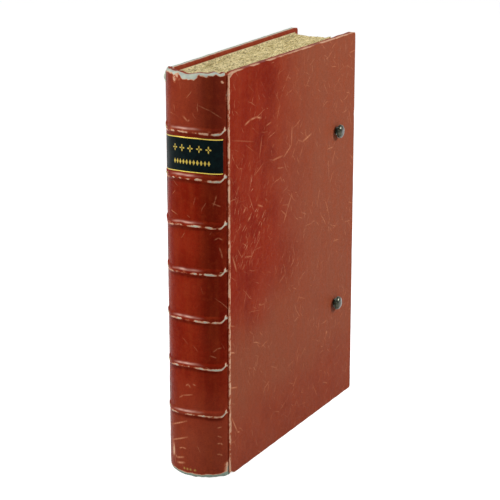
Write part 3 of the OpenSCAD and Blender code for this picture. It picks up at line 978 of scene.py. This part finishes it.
def joint_piece(side, name, material):
    """The leather over a joint: a worn ridge from the back onto the cover."""
    reach, lift, skin_t = 1.35, 0.28, 0.25
    z_lines = lines(2.6, (9, 0.8), (291, 1.5), (298.4, 0.8))
    shares = np.linspace(-1, 1, 13)
    share, z, number = crossed(shares, z_lines)
    away, crown = np.abs(share), 1 - share**2
    flat, z_only = joined(share * 3, z), joined(z)
    span = reach * (1 + 0.07 * ripple(z_only, 9, 90 + side))
    ends = smooth(z, 2.6, 6) * smooth(z, 298.4, 295)
    rise = lift * crown * (0.6 + 0.4 * ends) - 0.12 + 0.04 * ripple(flat, 3, 92 + side)
    if side == BACK:
        rise = rise + crown * (1.4 * bump(z, 294.0, 4.5) - 0.16)
    on_back = around_back(JOINT_S + np.minimum(share, 0) * span, BACK_R + rise, z)
    on_front = on_cover(joined(rise, np.maximum(share, 0) * span, z), FRONT)
    ease = smooth(share, -0.35, 0.35)[:, None]
    points = on_back * (1 - ease) + on_front * ease
    points[:, 0] *= side

    rub = 0.62 + 0.2 * ripple(z_only, 12, 94 + side) + 0.22 * ripple(flat, 2.5, 96 + side)
    if side == FRONT:
        tip = 0.78 * (1 - smooth(z, 4, 10) * smooth(z, 293, 287)) * smooth(away, 1.0, 0.3)
    else:
        tip = 1.1 * (1 - smooth(z, 4, 10) * smooth(z, 292, 287))
    wear = most(0.25, smooth(away, 1.15, 0.5) * np.clip(rub, 0.5, 0.8), tip)
    faces = quads(number, flip=side == BACK)
    place = joined(share * 3, z, 0.0)
    piece = new_piece(name, points, faces, material, place, wear=wear, fade=np.full(len(z), 0.15))
    thicken(piece, skin_t)
    bpy.context.view_layer.objects.active = piece
    bpy.ops.object.modifier_apply(modifier="Thickness")
    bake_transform(piece)


def page_half_t(y):
    """Half the thickness of the pages, which grows from the joint to the fore edge."""
    return PAGE_T / 2 + y * math.tan(GAPE)


def pages_plan(shares, leaf_step):
    """Where each side of a leaf runs, from the back to the hollow fore edge, as (x, y)."""
    hold_r = BACK_INNER_R - GLUE_T
    shoulder = math.sqrt(BACK_INNER_R**2 - BACK_Y**2)
    angle = np.arcsin(shares * shoulder / BACK_INNER_R)
    back_x, back_y = hold_r * np.sin(angle), BACK_Y - hold_r * np.cos(angle)
    fore_y = BOARD_W - FORE_SQUARE_W
    chord = page_half_t(fore_y)
    hollow_r = (chord**2 + FORE_HOLLOW**2) / (2 * FORE_HOLLOW)
    fore_end = fore_y - FORE_HOLLOW + hollow_r - np.sqrt(hollow_r**2 - (shares * chord) ** 2)
    fore_end = np.minimum(fore_end + 0.25 * leaf_step - 0.2, fore_y)
    columns = []
    for step in lines(0, (1, 0.25)):
        columns.append(joined(back_x * (1 - step) + shares * PAGE_T / 2 * step, back_y * (1 - step)))
    for step in lines(0, (1, 1 / 62))[1:]:
        y = fore_end * step
        columns.append(joined(shares * page_half_t(y), y))
    return np.stack(columns, 1)


def pages_piece():
    """The sewn sections: leaves of slightly uneven height, hollow at the fore edge."""
    sections, per_section = 18, 16
    flyleaf_tone = 1.6
    sides = np.arange(sections * per_section + 1)
    shares = np.linspace(-1, 1, len(sides))
    draw = np.random.default_rng(7)
    leaf_number = (sides + 1) // 2
    leaf_step = draw.uniform(-1, 1, leaf_number.max() + 1)[leaf_number]
    plan = pages_plan(shares, leaf_step)
    rows, depth = plan.shape[:2]
    count = rows * depth
    x, y = plan.reshape(-1, 2).T
    share, step_of, side_of = (np.repeat(values, depth) for values in (shares, leaf_step, sides))
    groove = np.abs((side_of % per_section) / per_section - 0.5) * 2
    gap = smooth(groove, 0.82, 1.0)
    section = side_of // per_section

    def uneven(seed):
        """How far each leaf stands off the mean level, with a groove between sections."""
        lift = 0.22 * step_of + 0.16 * ripple(joined(x * 0.9, y * 0.12), 0.7, seed)
        lift = lift + 0.22 * ripple(joined(x, y * 0.35), 3.0, seed + 1)
        lift = lift + 0.3 * ripple(joined(section * 9.0, y * 0.4), 7, seed + 2)
        return lift - 0.75 * gap

    # The outermost sides are flyleaves: 1 there and 0 on the sections
    fly = smooth(np.abs(share), 0.962, 0.97)
    fly_high = 1.15 + 0.1 * ripple(joined(x, y * 0.35), 6, 104)
    high = BOARD_H - SQUARE_W - 0.45 + uneven(100) * (1 - fly) + fly * fly_high
    low = SQUARE_W + 0.45 - uneven(110) * (1 - fly)
    bottom, top = joined(x, y, low), joined(x, y, high)
    tone = np.maximum(0.7 * step_of + 0.75 * smooth(y, 110, 10), 1.8 * fly)
    tone = np.where(fly > 0.5, tone, np.minimum(tone, 1.1))
    points, gaps, tones = [bottom, top], [gap, gap], [tone, tone]

    def between(border, edge_tone, edge_gap, rough=False):
        """Adds rows of points from the bottom's border up to the top's, and gives their numbers."""
        levels = np.linspace(0.02, 0.98, 30)[:, None]
        start = sum(len(part) for part in points)
        rise = bottom[border][:, None] * (1 - levels) + top[border][:, None] * levels
        rise = rise.reshape(-1, 3)
        edge_gap, edge_tone = (
            np.repeat(np.broadcast_to(values, len(border)), len(levels))
            for values in (edge_gap, edge_tone)
        )
        if rough:
            sway = ripple(rise * (2.5, 0, 0.05), 1.0, 120)
            sway = sway + 0.8 * ripple(rise[:, [0, 2]] * (1, 0.3), 9, 121)
            rise[:, 1] -= 0.28 * (1 + sway) + 0.7 * edge_gap
        points.append(rise)
        gaps.append(edge_gap)
        tones.append(edge_tone)
        return start + np.arange(len(rise)).reshape(len(border), len(levels))

    number = np.arange(count).reshape(rows, depth)
    fore, back = number[:, -1], number[:, 0]
    fore_rows = between(fore, step_of[fore], gap[fore], rough=True)
    back_rows = between(back, step_of[back], gap[back])
    sheets = [(fore, fore_rows, True), (back, back_rows, False)]
    for row, flip in ((0, True), (rows - 1, False)):
        inner = between(number[row, 1:-1], flyleaf_tone, 0.0)
        inner = np.concatenate([back_rows[row][None], inner, fore_rows[row][None]])
        sheets.append((number[row], inner, flip))
    faces = [quads(number), quads(number + count, flip=True)]
    for border, inner, flip in sheets:
        faces.append(quads(np.column_stack([border, inner, border + count]), flip))

    points = np.concatenate(points)
    piece = new_piece("Pages", points, np.concatenate(faces), leaf_edges(), points, sharp=50,
                      gap=np.concatenate(gaps), leaf=np.clip(np.concatenate(tones), 0, 1.8))
    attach(piece, "book_block")
    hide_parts("text_block")


def label_piece():
    """The title label, pressed down a little over the curve of the back."""
    s_lines = fine_ends(-LABEL_S, LABEL_S, 1, 0.2, 0.8)
    z_lines = fine_ends(LABEL_LOW, LABEL_HIGH, 1, 0.2, 0.8)
    s, z, number = crossed(s_lines, z_lines)
    flat = joined(s, z)
    sag = 0.7 - 1.5 * smooth(np.abs(s), 4, LABEL_S)
    from_edge = np.minimum(LABEL_S - np.abs(s), np.minimum(z - LABEL_LOW, LABEL_HIGH - z))
    top = BACK_R + GLUE_T + LABEL_T * (0.45 + 0.55 * smooth(from_edge, 0, 0.45))
    top = top + 0.05 * ripple(flat, 5, 130)
    count = len(s)
    faces = np.concatenate([quads(number), quads(number + count, flip=True), *walls(number, 4)])
    points = np.concatenate([around_back(s, r, z + sag) for r in (top, BACK_R - 0.25)])
    rubbed = 0.62 * smooth(from_edge, 0.7, 0.1) * (0.8 + 0.5 * ripple(flat, 4, 131))
    wear = np.concatenate([rubbed, np.zeros(count)])
    place = np.concatenate([joined(s, z, 0.0)] * 2)
    piece = new_piece("Title_label", points, faces, label_leather(), place, wear=wear)
    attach(piece, "book_block")
    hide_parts("title_label")


def pin_piece(name, z, node, material, seed):
    """A catch pin, turned and then knocked about: waisted neck, rolled rim and domed head."""
    head_r, neck_r, shank_r = PIN_HEAD_D / 2, PIN_NECK_D / 2, PIN_SHANK_D / 2
    tip_r, foot_r, sunk = 0.02, neck_r + 0.5, -0.02
    rim = PIN_NECK_H + 0.4
    rim_top = rim + PIN_RIM_H * 0.8
    dome_h, dome_steps = PIN_CROWN_H - rim_top, 15
    profile = [
        (tip_r, -PIN_SHANK_L), (shank_r, -PIN_SHANK_L), (shank_r, sunk), (foot_r, sunk), (foot_r, 0.25),
        (neck_r, 0.5), (neck_r - 0.4, PIN_NECK_H / 2), (neck_r - 0.2, PIN_NECK_H * 0.8),
        (neck_r + 0.3, PIN_NECK_H), (head_r - 1.0, rim - 0.25), (head_r - 0.25, rim - 0.05),
    ]
    for a in (0.9, 1.6, 2.3):
        profile.append((head_r - 0.3 + 0.3 * math.sin(a), rim + 0.3 - 0.3 * math.cos(a)))
    profile.append((head_r - 0.32, rim_top))
    for i in range(1, dome_steps):
        a = math.pi / 2 * i / dome_steps
        profile.append(((head_r - 0.28) * math.cos(a) ** 0.78, rim_top + dome_h * math.sin(a) ** 0.9))
    profile.append((tip_r, PIN_CROWN_H))

    turns = 56
    radius, height = np.array(profile).T
    a, h, number = crossed(np.linspace(0, 2 * math.pi, turns, endpoint=False), height)
    r = np.tile(radius, turns)
    around = joined(r * np.cos(a), r * np.sin(a), h)
    knock = 0.09 * smooth(h, rim, rim + 1) * ripple(around, 2.6, seed)
    r, h = r * (1 + 0.4 * knock * (r > 1)), np.minimum(h + knock - 0.05, PIN_CROWN_H)
    faces = quads(np.concatenate([number, number[:1]]), flip=True).tolist()
    faces += [number[:, 0].tolist(), number[::-1, -1].tolist()]
    points = on_cover(joined(h, PIN_Y + r * np.cos(a), z + r * np.sin(a)), FRONT)
    wear = smooth(-h, -rim - 1.2, -rim) + 0.5 * smooth(h, rim + 0.2, rim - 0.4)
    piece = new_piece(name, points, faces, material, around, sharp=35, wear=wear)
    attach(piece, "front_cover")
    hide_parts(node)


def carry_over(node, material):
    """Gives a CAD node that stays its own finish."""
    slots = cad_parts[node].data.materials
    if not slots:
        slots.append(material)
    for i in range(len(slots)):
        slots[i] = material


spine_piece()
cover_piece(FRONT, "Front_cover_leather", "front_cover", "front_leather", red_front)
cover_piece(BACK, "Back_cover_leather", "back_cover", "back_leather", red_back)
joint_piece(FRONT, "Front_joint_leather", red_joint)
joint_piece(BACK, "Back_joint_leather", red_joint)
pages_piece()
label_piece()
old_bronze = bronze()
pin_piece("Upper_pin", BOARD_H - PIN_HEAD_GAP, "upper_catch_pin", old_bronze, 140)
pin_piece("Lower_pin", PIN_TAIL_GAP, "lower_catch_pin", old_bronze, 141)

board_wood = wood()
endpaper = paper()
hemp = twisted("Hemp_cord", colour(206, 180, 128), colour(134, 104, 62), pitch=1.6, slant=1.0)
silk = twisted("Endband_silk", colour(206, 196, 158), colour(96, 112, 92), pitch=1.3, slant=0.2)
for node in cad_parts:
    if node.endswith("_board"):
        carry_over(node, board_wood)
    elif node.endswith("_pastedown"):
        carry_over(node, endpaper)
    elif node.startswith("sewing_cord"):
        carry_over(node, hemp)
    elif node.endswith("_endband"):
        carry_over(node, silk)


# Floor, light and camera


def sight(nodes):
    """1 for what the camera sees, directly or in gloss and glass, and 0 for scattered light."""
    path = nodes.node("LightPath").outputs
    return nodes.most(path["Is Camera Ray"], path["Is Glossy Ray"], path["Is Transmission Ray"])


def pale_floor():
    """A white floor that fills the background and keeps the book's soft shadow."""
    half, sink, grey = 6.0, 0.0002, 0.75
    corners = [(-half, -half, 0), (half, -half, 0), (half, half, 0), (-half, half, 0)]
    mesh = bpy.data.meshes.new("Floor")
    mesh.from_pydata(corners, [], [(0, 1, 2, 3)])
    floor = add("Floor", mesh)
    floor.location.z = -sink
    finish = Finish("Floor_white", roughness=0.9, specular=0.1)
    finish.put(finish.sockets["Emission Color"], (1, 1, 1, 1))
    finish.put(finish.sockets["Emission Strength"], finish.times(sight(finish), 0.8))
    mesh.materials.append(finish.done((grey, grey, grey, 1)))


def white_world(strength):
    """An even grey light that shows as white to the camera and in gloss."""
    world = bpy.data.worlds.new("Studio")
    bpy.context.scene.world = world
    world.use_nodes = True
    nodes = Nodes(world.node_tree)
    background = nodes.tree.nodes["Background"].inputs
    level = nodes.node("MapRange", sight(nodes), 0.0, 1.0, strength, 1.0)
    nodes.put(background["Color"], (1, 1, 1, 1))
    nodes.put(background["Strength"], level.outputs[0])


def softbox(name, direction, distance, size, power):
    """An area light that looks at the middle of the book from a direction."""
    middle = Vector((0, 0, 0.15))
    light = bpy.data.lights.new(name, "AREA")
    light.shape = "RECTANGLE"
    light.size, light.size_y = size
    light.energy = power
    lamp = add(name, light)
    towards = Vector(direction).normalized()
    lamp.location = middle + towards * distance
    lamp.rotation_euler = towards.to_track_quat("Z", "Y").to_euler()
    lamp.visible_camera = False


pale_floor()
white_world(strength=0.2)
softbox("Left_softbox", (-0.75, -0.75, 0.42), distance=1.4, size=(0.5, 0.9), power=5)
softbox("Key_softbox", (0.78, 0.4, 0.52), distance=1.35, size=(0.42, 0.42), power=13.5)
softbox("Band_light", (-0.45, -0.68, 0.56), distance=1.5, size=(1.3, 0.16), power=10.5)

YAW, PITCH, ROLL = math.radians(27.18), math.radians(16.07), math.radians(0.04)
camera_data = bpy.data.cameras.new("Camera")
camera_data.sensor_width = 36.0
camera_data.lens = 124.4
camera = add("Camera", camera_data)
camera.location = (0.574545, -1.139247, 0.513194)
camera.rotation_euler = (math.pi / 2 - PITCH, ROLL, YAW)
bpy.context.scene.camera = camera
bpy.context.scene.view_settings.view_transform = "Standard"
